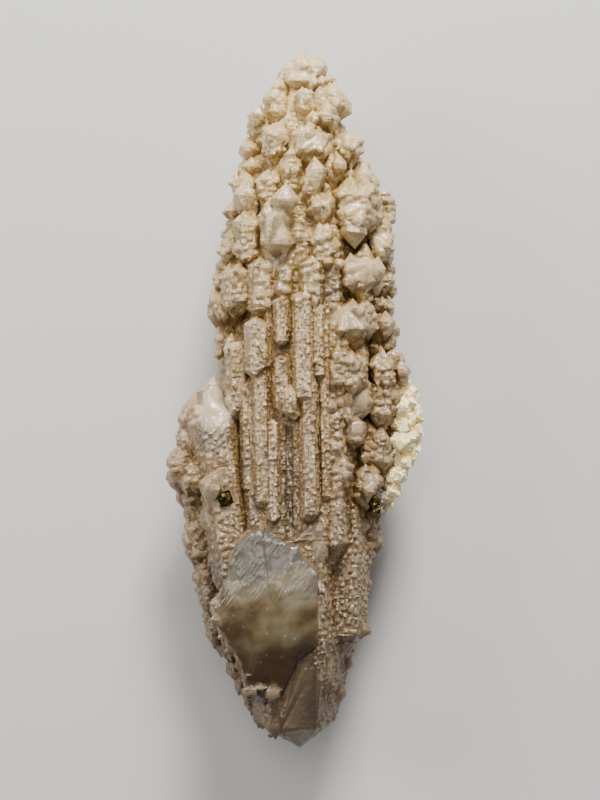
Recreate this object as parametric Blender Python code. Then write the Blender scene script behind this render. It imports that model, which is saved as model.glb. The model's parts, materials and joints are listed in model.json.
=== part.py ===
"""Double-terminated quartz crystal, lying on its back, in metres with +Z up.

The long axis runs along Y, with the pale pointed end at +Y and the smoky end at -Y. The quartz is one
solid: a six-sided spindle with many smaller crystals grown on it in parallel. A crust of white feldspar
sits on its right side, and three grains of pyrite are set in its skin.

Sizes and places below are in millimetres. X is across, Y is along, and heights are above the surface
that the crystal lies on.
"""

import math
import random

import bmesh
import bpy
from mathutils import Matrix, Vector

MM = 0.001

# Driving dimensions, in millimetres
UPPER_TIP = 49.9
LOWER_TIP = -50.1
AXIS_HEIGHT = 11.0
HEX_APOTHEM = math.cos(math.radians(30))
RHOMB_LEAN = 38.2
FIT_GAP = 0.3
SEED = 11

# The whole crystal's outline from end to end: place along Y, half width, and the middle's place across
OUTLINE = (
    (50.0, 0.4, 0.7),
    (45.4, 3.5, 1.2),
    (38.3, 6.7, 0.3),
    (28.3, 10.6, 1.3),
    (21.1, 12.2, 1.2),
    (14.0, 12.7, 0.8),
    (0.0, 11.6, 2.0),
    (-14.6, 10.6, 1.0),
    (-28.9, 10.6, -1.3),
    (-34.6, 9.6, -1.9),
    (-40.3, 7.8, -1.5),
    (-46.0, 5.0, -1.0),
    (-50.1, 0.6, 0.3),
)

QUARTZ_COLOUR = (0.42, 0.34, 0.25, 1.0)
FELDSPAR_COLOUR = (0.85, 0.78, 0.60, 1.0)
PYRITE_COLOUR = (0.52, 0.40, 0.16, 1.0)


def outline_at(y):
    """Half width of the whole crystal and its middle's place across, at y."""
    for (y1, r1, x1), (y0, r0, x0) in zip(OUTLINE, OUTLINE[1:]):
        if y0 <= y <= y1:
            share = (y - y0) / (y1 - y0)
            return r0 + share * (r1 - r0), x0 + share * (x1 - x0)
    return OUTLINE[-1][1], OUTLINE[-1][2]


def clear_scene():
    for obj in list(bpy.data.objects):
        bpy.data.objects.remove(obj)


def material(name, colour, roughness, metallic=0.0):
    made = bpy.data.materials.new(name)
    made.use_nodes = True
    shader = made.node_tree.nodes["Principled BSDF"]
    shader.inputs["Base Color"].default_value = colour
    shader.inputs["Roughness"].default_value = roughness
    shader.inputs["Metallic"].default_value = metallic
    return made


def cut_away(bm, point, normal):
    """Takes off what lies beyond a plane and closes the cut with one flat face."""
    geometry = bm.verts[:] + bm.edges[:] + bm.faces[:]
    bmesh.ops.bisect_plane(
        bm, geom=geometry, dist=1e-5, plane_co=point, plane_no=normal, clear_outer=True
    )
    rim = [edge for edge in bm.edges if edge.is_boundary]
    if rim:
        bmesh.ops.holes_fill(bm, edges=rim, sides=0)


def end_faces(bm, apex, lean, upward, offsets):
    """Cuts six faces that lean from the c axis by lean degrees and would meet it at apex."""
    slope = math.radians(lean)
    for side, offset in enumerate(offsets):
        around = math.radians(30 + 60 * side)
        normal = Vector(
            (
                math.cos(slope) * math.cos(around),
                math.cos(slope) * math.sin(around),
                math.sin(slope) * upward,
            )
        )
        cut_away(bm, Vector((0, 0, apex)) + normal * offset, normal)


def place_mesh(bm, name, collection, matrix):
    """Turns the c axis from Z to Y, moves the solid into place and links it as a hidden growth."""
    bmesh.ops.recalc_face_normals(bm, faces=bm.faces[:])
    along_y = Matrix.Rotation(math.radians(-90), 4, "X")
    bm.transform(Matrix.Scale(MM, 4) @ matrix @ along_y)
    mesh = bpy.data.meshes.new(name)
    bm.to_mesh(mesh)
    bm.free()
    made = bpy.data.objects.new(name, mesh)
    collection.objects.link(made)
    return made


def crystal(
    collection,
    x,
    height,
    tip,
    radius,
    foot,
    head_lean=RHOMB_LEAN,
    foot_lean=42.0,
    lean_left=0.0,
    lean_front=0.0,
    ragged=0.10,
    flatten=1.0,
    steep=(),
):
    """One six-sided crystal along Y: prism, six end faces at the tip and six tapering to the foot.

    radius is from the middle to a prism edge. Its flat front faces up. steep holds further sets of
    end faces, each as (apex, lean, direction), and flatten squeezes its thickness.
    """
    name = "growth_%03d" % len(collection.objects)
    pick = random.Random(SEED * 1000 + len(collection.objects))
    bm = bmesh.new()
    length = tip - foot
    bmesh.ops.create_cone(
        bm, cap_ends=True, segments=6, radius1=radius, radius2=radius, depth=2 * length
    )
    bm.transform(Matrix.Rotation(math.radians(30), 4, "Z"))
    middle = (tip + foot) / 2
    start = pick.randrange(2)
    head = [
        radius * (0.14 * ((side + start) % 2) + pick.uniform(-ragged, ragged))
        for side in range(6)
    ]
    end_faces(bm, tip - middle, head_lean, 1, head)
    base = [radius * pick.uniform(-ragged, ragged) for side in range(6)]
    end_faces(bm, foot - middle, foot_lean, -1, base)
    for apex, lean, direction in steep:
        end_faces(bm, apex - middle, lean, direction, [0.0] * 6)
    tilt = Matrix.Rotation(math.radians(lean_left), 4, "Z") @ Matrix.Rotation(
        math.radians(lean_front), 4, "X"
    )
    squeeze = Matrix.Diagonal((1, 1, flatten, 1))
    matrix = Matrix.Translation((x, middle, height)) @ tilt @ squeeze
    return place_mesh(bm, name, collection, matrix)


def grow_core(growth):
    """The spindle that everything else stands on, as an upper and a lower steep-sided crystal."""
    crystal(
        growth,
        0.9,
        AXIS_HEIGHT - 0.7,
        47.0,
        10.0,
        -24.0,
        ragged=0.03,
        foot_lean=24.0,
        steep=((54.0, 14.6, 1),),
    )
    crystal(
        growth,
        1.2,
        AXIS_HEIGHT - 0.7,
        24.0,
        10.2,
        -40.0,
        ragged=0.03,
        head_lean=30.0,
        foot_lean=24.0,
        lean_left=-2.5,
    )
    crystal(
        growth,
        -1.3,
        AXIS_HEIGHT - 0.4,
        6.0,
        9.6,
        LOWER_TIP,
        ragged=0.05,
        head_lean=24.0,
        foot_lean=52.0,
        lean_left=3.0,
        steep=((-64.0, 15.5, -1),),
    )


def grow_rows(growth, rows, **shared):
    """One crystal for each row of x, height, tip, radius, foot and lean of the end faces."""
    for x, height, tip, radius, foot, lean in rows:
        crystal(growth, x, height, tip, radius, foot, head_lean=lean, **shared)


def grow_crown(growth):
    """The pale pointed end: a leaning head block, then rounded blocks and broad shelves below it."""
    head = (
        (0.7, 11.0, UPPER_TIP, 3.3, 42.5, 31.0),
        (2.5, 11.8, 48.6, 1.7, 44.6, 46.0),
        (4.4, 11.4, 46.1, 3.2, 38.2, 33.0),
        (1.3, 14.2, 43.7, 1.4, 39.6, 60.0),
        (3.6, 15.0, 40.6, 2.6, 37.0, 58.0),
        (-2.7, 10.8, 45.7, 0.7, 41.8, 20.0),
        (-2.7, 11.8, 44.3, 1.8, 38.4, 42.0),
        (-5.2, 11.6, 41.0, 1.8, 36.2, 44.0),
    )
    shelves = (
        (1.9, 15.5, 38.6, 3.2, 31.6, 54.0),
        (7.0, 12.4, 37.9, 2.5, 32.8, 46.0),
        (-3.0, 14.9, 38.9, 1.8, 33.0, 48.0),
        (-6.6, 11.6, 37.2, 1.5, 33.8, 40.0),
        (-6.4, 11.4, 34.5, 1.7, 31.0, 40.0),
        (5.2, 15.9, 33.8, 1.4, 29.8, 52.0),
        (8.2, 11.0, 33.5, 1.3, 30.4, 36.0),
        (-0.6, 16.3, 34.2, 1.8, 27.6, 50.0),
        (-7.2, 12.0, 32.4, 2.0, 27.8, 38.0),
        (-3.9, 16.4, 31.6, 1.9, 26.0, 48.0),
        (2.0, 16.8, 31.5, 1.7, 26.6, 52.0),
        (-6.5, 15.2, 30.2, 1.8, 25.0, 44.0),
        (3.4, 17.4, 28.6, 2.1, 23.6, 52.0),
    )
    grow_rows(growth, head, foot_lean=48.0)
    grow_rows(growth, shelves, foot_lean=46.0)


def grow_left_edge(growth):
    """The buds that make the toothed left edge, and the row of thin ribs below them."""
    buds = (
        (-8.3, 12.0, 28.6, 2.2, 24.4, 40.0),
        (-8.6, 12.4, 25.3, 2.6, 18.4, 28.0),
        (-9.1, 11.4, 20.6, 2.4, 16.4, 40.0),
        (-9.4, 12.4, 18.6, 2.7, 14.0, 40.0),
        (-8.9, 11.8, 16.6, 3.7, 9.4, 42.0),
        (-8.0, 12.0, 10.6, 3.2, 5.0, 44.0),
        (-6.7, 16.2, 26.4, 1.8, 18.0, 38.0),
        (-8.0, 15.2, 19.6, 2.5, 11.4, 48.0),
        (-4.7, 17.5, 19.8, 2.1, 10.4, 50.0),
    )
    grow_rows(growth, buds, foot_lean=46.0)
    rib_count, rib_pitch, first_rib = 5, 1.45, 6.4
    for rib in range(rib_count):
        top = first_rib - rib * rib_pitch
        crystal(growth, -7.6, 12.4, top, 2.5, top - 3.0, head_lean=58.0, foot_lean=58.0)


def grow_right_edge(growth):
    """The ridge of stacked crystals up the right side, with the toothed edge beyond it."""
    ridge = (
        (8.1, 15.2, 31.4, 3.9, 21.6, 46.0),
        (8.1, 17.6, 27.6, 2.3, 21.8, 52.0),
        (8.6, 16.6, 20.4, 3.2, 12.8, 50.0),
        (7.6, 17.2, 13.9, 3.3, 6.4, 54.0),
        (6.7, 17.5, 7.8, 3.3, -1.2, 50.0),
        (8.7, 17.1, 2.2, 1.8, -3.6, 34.0),
        (6.8, 18.0, 0.8, 1.4, -4.4, 44.0),
        (8.0, 17.4, -2.8, 1.6, -7.4, 40.0),
        (6.3, 18.0, -7.8, 1.2, -12.8, 32.0),
        (9.7, 14.9, -8.6, 2.0, -16.0, 40.0),
    )
    teeth = (
        (12.4, 12.0, 28.7, 1.1, 24.4, 34.0),
        (11.3, 13.0, 26.2, 2.3, 20.4, 40.0),
        (11.9, 14.2, 24.0, 1.8, 18.8, 44.0),
        (11.6, 11.4, 22.2, 2.4, 17.8, 44.0),
        (11.7, 11.8, 19.0, 2.5, 13.2, 38.0),
        (11.6, 12.2, 14.8, 2.3, 10.8, 44.0),
        (11.6, 12.4, 12.4, 3.0, 7.0, 40.0),
        (11.9, 12.0, 8.8, 2.5, 4.8, 44.0),
        (12.0, 15.0, 7.0, 1.7, 0.8, 30.0),
        (13.5, 12.4, 6.6, 1.7, 1.2, 40.0),
        (12.0, 14.2, 3.0, 2.1, -4.2, 40.0),
        (10.9, 13.6, -3.4, 2.7, -11.6, 36.0),
        (11.6, 11.6, -8.6, 2.3, -17.0, 36.0),
        (11.8, 9.0, 3.6, 3.0, -12.6, 44.0),
        (9.8, 11.0, -14.0, 2.4, -22.4, 40.0),
        (8.4, 12.0, -20.6, 2.0, -29.6, 36.0),
        (6.9, 13.4, -12.0, 3.1, -36.0, 40.0),
    )
    grow_rows(growth, ridge, foot_lean=44.0)
    grow_rows(growth, teeth, foot_lean=44.0)


def grow_front_columns(growth):
    """The rods that stand side by side in the hollow middle of the front."""
    points = (
        (-2.9, 18.9, 27.4, 2.1, 19.2, 36.0),
        (3.7, 18.5, 24.7, 1.7, 17.0, 36.0),
        (0.8, 18.3, 23.8, 1.4, 17.0, 42.0),
        (2.1, 18.8, 19.9, 2.0, 11.6, 50.0),
        (-1.6, 19.2, 18.7, 1.2, 12.0, 48.0),
    )
    rods = (
        (-2.0, 19.7, 14.2, 1.2, 6.8, 56.0),
        (0.9, 19.6, 15.0, 1.8, -2.0, 58.0),
        (3.0, 19.3, 13.3, 1.1, 2.0, 52.0),
        (-5.3, 19.0, 11.4, 1.9, 2.0, 54.0),
        (-4.8, 18.7, 6.0, 1.4, -16.0, 52.0),
        (-2.0, 19.2, 6.2, 1.5, -3.0, 58.0),
        (1.8, 19.5, 3.1, 1.4, -17.6, 40.0),
        (-0.8, 19.9, 1.9, 1.35, -3.6, 42.0),
        (-3.2, 19.3, -3.0, 1.0, -17.8, 50.0),
        (-8.0, 16.4, 8.0, 1.8, -3.6, 52.0),
        (-6.6, 17.6, 3.0, 1.3, -14.0, 44.0),
        (4.9, 18.2, 4.4, 1.3, -9.0, 48.0),
        (4.0, 18.6, 11.0, 1.1, -15.0, 44.0),
        (5.4, 18.1, -1.0, 1.5, -22.0, 44.0),
    )
    grow_rows(growth, points)
    grow_rows(growth, rods, ragged=0.2, lean_left=1.0)


def grow_companion(growth):
    """The second crystal, grown against the left side and leaning away from the first."""
    steps = (
        (-9.9, 15.3, 1.7, 3.5, -29.0, 36.0),
        (-11.6, 13.6, -0.4, 2.6, -14.0, 40.0),
        (-13.2, 13.0, -0.8, 2.2, -12.0, 36.0),
        (-15.2, 12.0, -1.4, 2.0, -10.0, 20.0),
        (-15.9, 12.4, -6.3, 2.2, -13.8, 40.0),
        (-14.2, 14.4, -8.6, 1.8, -14.2, 46.0),
        (-16.6, 10.8, -9.2, 1.7, -13.6, 44.0),
        (-14.2, 12.8, -12.6, 1.7, -16.2, 50.0),
        (-13.8, 11.8, -14.2, 1.7, -18.6, 48.0),
        (-13.5, 12.2, -16.6, 2.2, -24.6, 44.0),
        (-12.0, 11.8, -21.0, 2.3, -31.0, 40.0),
        (-11.2, 10.8, -27.6, 2.0, -36.0, 40.0),
    )
    grow_rows(growth, steps, lean_left=7.5, foot_lean=44.0)


WINDOW = (
    # x and y of the broken and healed patch's outline, clockwise from its upper left corner
    (-8.3, -20.3),
    (-6.7, -18.4),
    (-4.9, -18.0),
    (-3.9, -19.0),
    (-1.0, -20.1),
    (0.4, -20.3),
    (1.1, -22.0),
    (3.0, -23.9),
    (3.1, -28.9),
    (3.0, -34.6),
    (0.4, -36.7),
    (-1.9, -41.7),
    (-4.1, -42.7),
    (-7.1, -42.0),
    (-7.3, -39.1),
    (-8.6, -36.0),
    (-9.9, -34.6),
    (-11.4, -31.4),
    (-11.9, -29.3),
    (-10.7, -27.4),
    (-9.7, -25.3),
    (-9.6, -23.1),
)


def lower_front(y):
    """Height of the lower end's front at y, which falls away towards the tip."""
    return min(18.7, 18.7 + (y + 33.0) * 0.27)


def grow_window(growth):
    """The smooth patch on the lower front, as a low dome with the broken patch's outline."""
    middle = Vector((-3.4, -28.5))
    # share of the outline, rise above the front
    rings = ((0.96, -5.0), (1.0, -0.6), (0.93, 0.9), (0.62, 1.5), (0.3, 1.8))
    bm = bmesh.new()
    loops = []
    for share, rise in rings:
        loop = []
        for x, y in WINDOW:
            spot = middle + (Vector((x, y)) - middle) * share
            loop.append(bm.verts.new((spot.x, spot.y, lower_front(spot.y) + rise)))
        loops.append(loop)
    for lower, upper in zip(loops, loops[1:]):
        for i, corner in enumerate(lower):
            after = (i + 1) % len(lower)
            bm.faces.new((corner, upper[i], upper[after], lower[after]))
    top = bm.verts.new((middle.x, middle.y, lower_front(middle.y) + 1.9))
    for i, corner in enumerate(loops[-1]):
        bm.faces.new((corner, top, loops[-1][(i + 1) % len(loops[-1])]))
    bm.faces.new(loops[0])
    bmesh.ops.triangulate(bm, faces=bm.faces[:])
    place_mesh(bm, "growth_window", growth, Matrix.Rotation(math.radians(90), 4, "X"))


def grow_lower_end(growth):
    """The smoky end: flat plates below the window and small teeth along both edges."""
    flakes = (
        # x, upper end, radius, lower tip, height over the front, slope along the front in degrees
        (0.9, -35.6, 2.7, -48.0, -1.3, 15.0),
        (-5.9, -39.2, 1.5, -42.2, -0.5, 15.0),
        (-3.3, -39.0, 1.4, -43.0, -0.1, 15.0),
        (-3.4, -43.4, 1.3, -48.0, -0.6, 15.0),
        (4.2, -36.2, 1.1, -42.2, -1.6, 12.0),
        (3.1, -17.2, 1.0, -24.0, -0.1, 0.0),
        (3.5, -23.0, 0.8, -34.8, -0.3, 0.0),
    )
    for x, top, radius, tip, over, slope in flakes:
        height = lower_front((top + tip) / 2) + over
        crystal(
            growth, x, height, top, radius, tip, foot_lean=30.0, lean_front=slope, flatten=0.6
        )
    teeth_per_side, first_tooth, tooth_pitch = 8, -30.0, 2.25
    for side in (-1, 1):
        for tooth in range(teeth_per_side):
            y = first_tooth - tooth * tooth_pitch
            half_width, middle = outline_at(y)
            radius = 0.55 + 0.15 * half_width
            x = middle + side * (half_width - radius * 0.95)
            crystal(growth, x, AXIS_HEIGHT - 1.2, y + 2.4, radius, y - 2.0)


def grow_back(growth):
    """Rows of buds along the hidden sides, clear of the surface that the crystal lies on."""
    pick = random.Random(SEED)
    clearance = 0.25
    for around in (195, 235, 270, 305, 345):
        y = 41.0 - pick.uniform(0, 3)
        while y > -33.0:
            half_width, middle = outline_at(y)
            radius = pick.uniform(0.28, 0.40) * half_width + 0.5
            turn = math.radians(around + pick.uniform(-7, 7))
            off_face = math.radians(around % 60 - 30)
            reach = half_width * HEX_APOTHEM / math.cos(off_face) - radius * 0.62
            height = AXIS_HEIGHT + reach * math.sin(turn)
            height = max(height, radius * HEX_APOTHEM + clearance)
            x = middle + reach * math.cos(turn)
            crystal(growth, x, height, y + radius, radius, y - radius * 2.2, foot_lean=44.0)
            y -= radius * pick.uniform(1.95, 2.6)


def grow_resting_faces(growth):
    """Broad back crystals whose prism faces lie in one plane, which is what the specimen rests on."""
    resting = (
        # x, tip, radius, foot
        (4.4, 24.0, 4.6, 4.0),
        (-3.2, 21.0, 4.4, 2.0),
        (0.8, 8.0, 4.8, -12.0),
        (3.0, -8.0, 4.4, -30.0),
        (-4.2, -10.0, 4.6, -34.0),
    )
    for x, tip, radius, foot in resting:
        crystal(growth, x, radius * HEX_APOTHEM, tip, radius, foot, ragged=0.06)


def cut_slot(cutters):
    """The glossy hollow left where one rod of the front has broken out."""
    bm = bmesh.new()
    bmesh.ops.create_cone(
        bm, cap_ends=True, segments=8, radius1=1.0, radius2=0.8, depth=16.0
    )
    bm.transform(Matrix.Rotation(math.radians(22.5), 4, "Z"))
    place_mesh(bm, "slot", cutters, Matrix.Translation((-0.95, -12.0, 19.6)))


FELDSPAR_LUMPS = (
    # x, y, height, size of each rough lump of the crust
    (14.7, 1.6, 12.2, 2.2),
    (15.9, 0.2, 12.0, 2.3),
    (15.2, -1.6, 13.4, 2.4),
    (16.7, -2.3, 12.4, 2.2),
    (15.4, -3.6, 12.6, 2.9),
    (16.4, -4.9, 12.2, 2.5),
    (15.2, -6.2, 13.2, 2.7),
    (15.9, -7.9, 12.2, 2.3),
    (15.0, -9.2, 12.6, 2.4),
    (14.2, -11.0, 12.6, 2.4),
    (13.4, -13.1, 12.0, 2.2),
    (12.6, -15.2, 12.0, 1.8),
    (14.8, -2.4, 10.4, 2.9),
    (14.8, -6.0, 10.2, 2.9),
)


def feldspar_lump(collection, index, x, y, height, size, grown):
    """One knobbly lump of the crust, turned at random, and grown outward by a margin for the cutter."""
    pick = random.Random(SEED * 77 + index)
    bm = bmesh.new()
    bmesh.ops.create_icosphere(bm, subdivisions=1, radius=size * 0.7)
    for corner in bm.verts:
        corner.co *= pick.uniform(0.84, 1.12)
        corner.co += corner.co.normalized() * grown
    spin = Matrix.Rotation(pick.uniform(0, math.tau), 4, Vector((1, pick.random(), 0.4)))
    name = "lump_%d_%d" % (index, round(grown * 100))
    return place_mesh(bm, name, collection, Matrix.Translation((x, y, height)) @ spin)


def pyrite_grain(name, x, y, height, size, spin, collection):
    """A cube of pyrite with its corners cut, turned as it grew."""
    bm = bmesh.new()
    bmesh.ops.create_cube(bm, size=size)
    corner_cut = size * 0.66
    for sx in (-1, 1):
        for sy in (-1, 1):
            for sz in (-1, 1):
                normal = Vector((sx, sy, sz)).normalized()
                cut_away(bm, normal * corner_cut, normal)
    turn = Matrix.Rotation(math.radians(spin), 4, Vector((0.6, 0.3, 1.0)))
    return place_mesh(bm, name, collection, Matrix.Translation((x, y, height)) @ turn)


PYRITE_GRAINS = (
    # name, x, y, height, size, turn in degrees
    ("pyrite_grain_left", -9.9, -14.1, 18.3, 1.3, 25),
    ("pyrite_grain_right_upper", 10.7, -14.4, 16.2, 1.1, 50),
    ("pyrite_grain_right_lower", 11.4, -15.9, 14.2, 0.9, 10),
)


def join(target, operation, collection):
    """A Boolean of the target with every solid of a collection."""
    step = target.modifiers.new(operation.lower(), "BOOLEAN")
    step.operation = operation
    step.operand_type = "COLLECTION"
    step.collection = collection
    step.solver = "EXACT"


def hide(collection):
    for obj in collection.objects:
        obj.hide_render = True
        obj.display_type = "WIRE"


def new_collection(name, parent):
    made = bpy.data.collections.new(name)
    parent.children.link(made)
    return made


def whole_object(name, source, operands, parent, finish):
    """The first solid of a collection taken out as the named piece, with the rest joined to it."""
    source.name = name
    source.data.name = name
    operands.objects.unlink(source)
    parent.objects.link(source)
    source.data.materials.append(finish)
    join(source, "UNION", operands)
    return source


def build():
    clear_scene()
    scene = bpy.context.scene.collection
    model = new_collection("quartz_specimen", scene)
    growth = new_collection("growths", scene)
    lumps = new_collection("crust_lumps", scene)
    cutters = new_collection("cutters", scene)

    grow_core(growth)
    grow_crown(growth)
    grow_left_edge(growth)
    grow_right_edge(growth)
    grow_front_columns(growth)
    grow_companion(growth)
    grow_window(growth)
    grow_lower_end(growth)
    grow_back(growth)
    grow_resting_faces(growth)

    cut_slot(cutters)
    for index, (x, y, height, size) in enumerate(FELDSPAR_LUMPS):
        feldspar_lump(lumps, index, x, y, height, size, 0.0)
        feldspar_lump(cutters, index, x, y, height, size, FIT_GAP)
    for name, x, y, height, size, spin in PYRITE_GRAINS:
        grain = pyrite_grain(name, x, y, height, size, spin, model)
        grain.data.materials.append(material(name, PYRITE_COLOUR, 0.3, 1.0))
        pyrite_grain(name + "_socket", x, y, height, size + 2 * FIT_GAP, spin, cutters)

    quartz = whole_object(
        "quartz_crystal",
        growth.objects["growth_000"],
        growth,
        model,
        material("quartz", QUARTZ_COLOUR, 0.35),
    )
    join(quartz, "DIFFERENCE", cutters)
    whole_object(
        "feldspar_crust",
        lumps.objects["lump_0_0"],
        lumps,
        model,
        material("feldspar", FELDSPAR_COLOUR, 0.6),
    )
    for helper in (growth, lumps, cutters):
        hide(helper)


build()
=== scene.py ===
# %% [markdown]
# # Double-terminated quartz crystal
#
# The specimen is one long quartz crystal that carries thousands of small ones. All of them grew in
# parallel, so their points aim the same way, along Y. The part's solids already hold the shapes that
# can be told apart from a step away. This scene adds what is seen close up: the coat of small crystals,
# the frost on their faces, the smoky body colour, the knobbly white crust and the grains of pyrite.
#
# Lengths are in metres, as in the part. Sizes of grains and patterns are written in millimetres and
# multiplied by MM, because that is how one would measure them on the specimen.

import json
import math
import random

import bmesh
import bpy
import numpy as np
from mathutils import Matrix, Vector
from mathutils.bvhtree import BVHTree

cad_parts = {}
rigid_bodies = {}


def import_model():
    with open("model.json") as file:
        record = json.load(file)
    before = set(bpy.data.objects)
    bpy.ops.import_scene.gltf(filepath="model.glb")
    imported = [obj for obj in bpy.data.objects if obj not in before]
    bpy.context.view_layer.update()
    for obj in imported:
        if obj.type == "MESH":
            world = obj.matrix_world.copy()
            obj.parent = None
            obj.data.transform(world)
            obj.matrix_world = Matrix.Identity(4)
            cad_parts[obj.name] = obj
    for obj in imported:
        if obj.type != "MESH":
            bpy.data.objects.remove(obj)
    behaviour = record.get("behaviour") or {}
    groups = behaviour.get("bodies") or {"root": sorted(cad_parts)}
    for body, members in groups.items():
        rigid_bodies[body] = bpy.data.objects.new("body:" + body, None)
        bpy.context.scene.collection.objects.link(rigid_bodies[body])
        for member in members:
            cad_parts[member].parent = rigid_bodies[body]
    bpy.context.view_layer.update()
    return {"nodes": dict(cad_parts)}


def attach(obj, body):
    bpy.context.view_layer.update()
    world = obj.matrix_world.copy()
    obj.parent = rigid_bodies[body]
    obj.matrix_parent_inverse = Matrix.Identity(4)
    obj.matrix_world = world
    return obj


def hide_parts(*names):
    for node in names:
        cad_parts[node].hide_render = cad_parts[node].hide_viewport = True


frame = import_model()
MM = 0.001
SEED = 23
print("solids:", ", ".join(sorted(frame["nodes"])))

# %% [markdown]
# ## Camera
#
# The specimen is photographed square on, from its front. It could be stood up for that, but a crystal
# this long lies on its back, so the camera looks straight down instead and the pale end is at the top
# of the picture. An 85 mm lens at 28 cm gives the flat perspective of a close-up photograph.

# %% Camera
camera_data = bpy.data.cameras.new("camera")
camera_data.lens = 85
camera_data.sensor_width = 36
camera_data.clip_start = 0.01
camera = bpy.data.objects.new("camera", camera_data)
bpy.context.scene.collection.objects.link(camera)
camera.location = Vector((0.5, -0.36, 281)) * MM
bpy.context.scene.camera = camera
print("camera height over the surface: %.0f mm" % (camera.location.z / MM))

# %% [markdown]
# ## Helpers for materials
#
# Every finish below is a chain of nodes. Nodes could be set out one by one in the editor, but a script
# can be read, changed and run again. One small function adds a node with its settings and links.
# Colours are written as they look on a screen and turned into the linear values that the renderer
# works with.


# %% Colours and nodes
def colour(code):
    """A hex colour, as a screen shows it, as linear values."""
    parts = [int(code[i : i + 2], 16) / 255 for i in (1, 3, 5)]
    linear = [p / 12.92 if p <= 0.04045 else ((p + 0.055) / 1.055) ** 2.4 for p in parts]
    return (*linear, 1.0)


def add_node(material, kind, stops=(), **settings):
    """Adds a node and sets it. A key that names an input, or gives its place as _0, sets that input
    to a value or links another node's output to it. Any other key sets a property of the node.
    Stops are the (place, colour code) pairs of a colour ramp."""
    node = material.node_tree.nodes.new(kind)
    sockets = {socket.name.lower().replace(" ", "_"): socket for socket in reversed(node.inputs)}
    sockets.update({"_%d" % place: socket for place, socket in enumerate(node.inputs)})
    for key, value in settings.items():
        if key not in sockets:
            setattr(node, key, value)
        elif isinstance(value, bpy.types.NodeSocket):
            material.node_tree.links.new(value, sockets[key])
        else:
            sockets[key].default_value = value
    for number, (place, code) in enumerate(stops):
        ends = node.color_ramp.elements
        stop = ends[number] if number < len(ends) else ends.new(place)
        stop.position, stop.color = place, colour(code)
    return node


def new_material(name):
    """An empty material, ready for its nodes."""
    material = bpy.data.materials.new(name)
    material.use_nodes = True
    material.node_tree.nodes.clear()
    return material


print("mid grey is", [round(value, 3) for value in colour("#808080")[:3]])

# %% [markdown]
# ## Light and surface
#
# Quartz shows its faces by what they mirror, so the light is a few soft panels and not a sun or small
# lamps, which would leave hard sparks. The main one is low beyond the pale end: it catches the end face
# of every small crystal and leaves the undersides dark. One overhead is mirrored by the smooth window,
# and a weak one on the left fills the shadows. The surface is a plain pale board.


# %% Soft panels
def soft_light(name, place, size, watts, aim=(0.0, 0.0, 0.01)):
    """A square soft panel at a place, aimed at the specimen."""
    data = bpy.data.lights.new(name, "AREA")
    data.size = size
    data.energy = watts
    light = bpy.data.objects.new(name, data)
    light.location = place
    light.rotation_euler = (Vector(aim) - Vector(place)).to_track_quat("-Z", "Y").to_euler()
    bpy.context.scene.collection.objects.link(light)


soft_light("panel_beyond_the_point", (0.06, 0.40, 0.25), 0.14, 4.9)
soft_light("panel_overhead", (-0.06, 0.17, 0.45), 0.24, 0.8)
soft_light("panel_left", (-0.38, 0.12, 0.22), 0.16, 1.0)

world = bpy.data.worlds.new("studio")
world.use_nodes = True
background = world.node_tree.nodes["Background"].inputs
background["Color"].default_value = colour("#d8dce4")
background["Strength"].default_value = 0.32
bpy.context.scene.world = world

# %% Pale board
board_finish = new_material("pale board")
board = add_node(
    board_finish, "ShaderNodeBsdfPrincipled", base_color=colour("#cfccc6"), roughness=0.75
)
add_node(board_finish, "ShaderNodeOutputMaterial", surface=board.outputs[0])
bpy.ops.mesh.primitive_plane_add(size=1.6, location=(0, 0, 0))
floor = bpy.context.object
floor.name = "floor"
floor.data.materials.append(board_finish)
print("board: %.1f m wide" % floor.dimensions.x)

# %% [markdown]
# ## The coat of small crystals
#
# Each small crystal is a six-sided prism along Y with a six-faced point at each end. They could be
# scattered as instances, but an export keeps only real meshes. So a few dozen slightly different ones
# are made once and copied thousands of times over the solid, each with its own size and a turn of a
# few degrees. Where the coat is finest, squat blocks stand in for crystals too small to show a shape.

# %% Shapes of one grain
POINT_HEIGHT = 1.05  # of a crystal's points, to its radius


def grain_mesh(bm):
    """Corner points and triangles of a bmesh, which is freed."""
    bmesh.ops.triangulate(bm, faces=bm.faces[:])
    bmesh.ops.recalc_face_normals(bm, faces=bm.faces[:])
    bm.verts.index_update()
    points = np.array([vert.co[:] for vert in bm.verts])
    triangles = np.array([[vert.index for vert in face.verts] for face in bm.faces])
    bm.free()
    return points, triangles


def small_crystal(pick, prism):
    """A six-sided prism of radius 1 along Y, with a point on each end that is a little off centre."""
    bm = bmesh.new()
    bmesh.ops.create_cone(bm, cap_ends=True, segments=6, radius1=1, radius2=1, depth=prism)
    ends = [face for face in bm.faces if abs(face.normal.z) > 0.9]
    for tip in bmesh.ops.poke(bm, faces=ends)["verts"]:
        tall = POINT_HEIGHT * pick.uniform(0.8, 1.2)
        tip.co += Vector((pick.gauss(0, 0.2), pick.gauss(0, 0.2), math.copysign(tall, tip.co.z)))
    for vert in bm.verts:
        vert.co += Vector([pick.uniform(-0.09, 0.09) for axis in range(3)])
    bm.transform(Matrix.Rotation(math.radians(-90), 4, "X") @ Matrix.Rotation(math.radians(30), 4, "Z"))
    return grain_mesh(bm)


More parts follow.
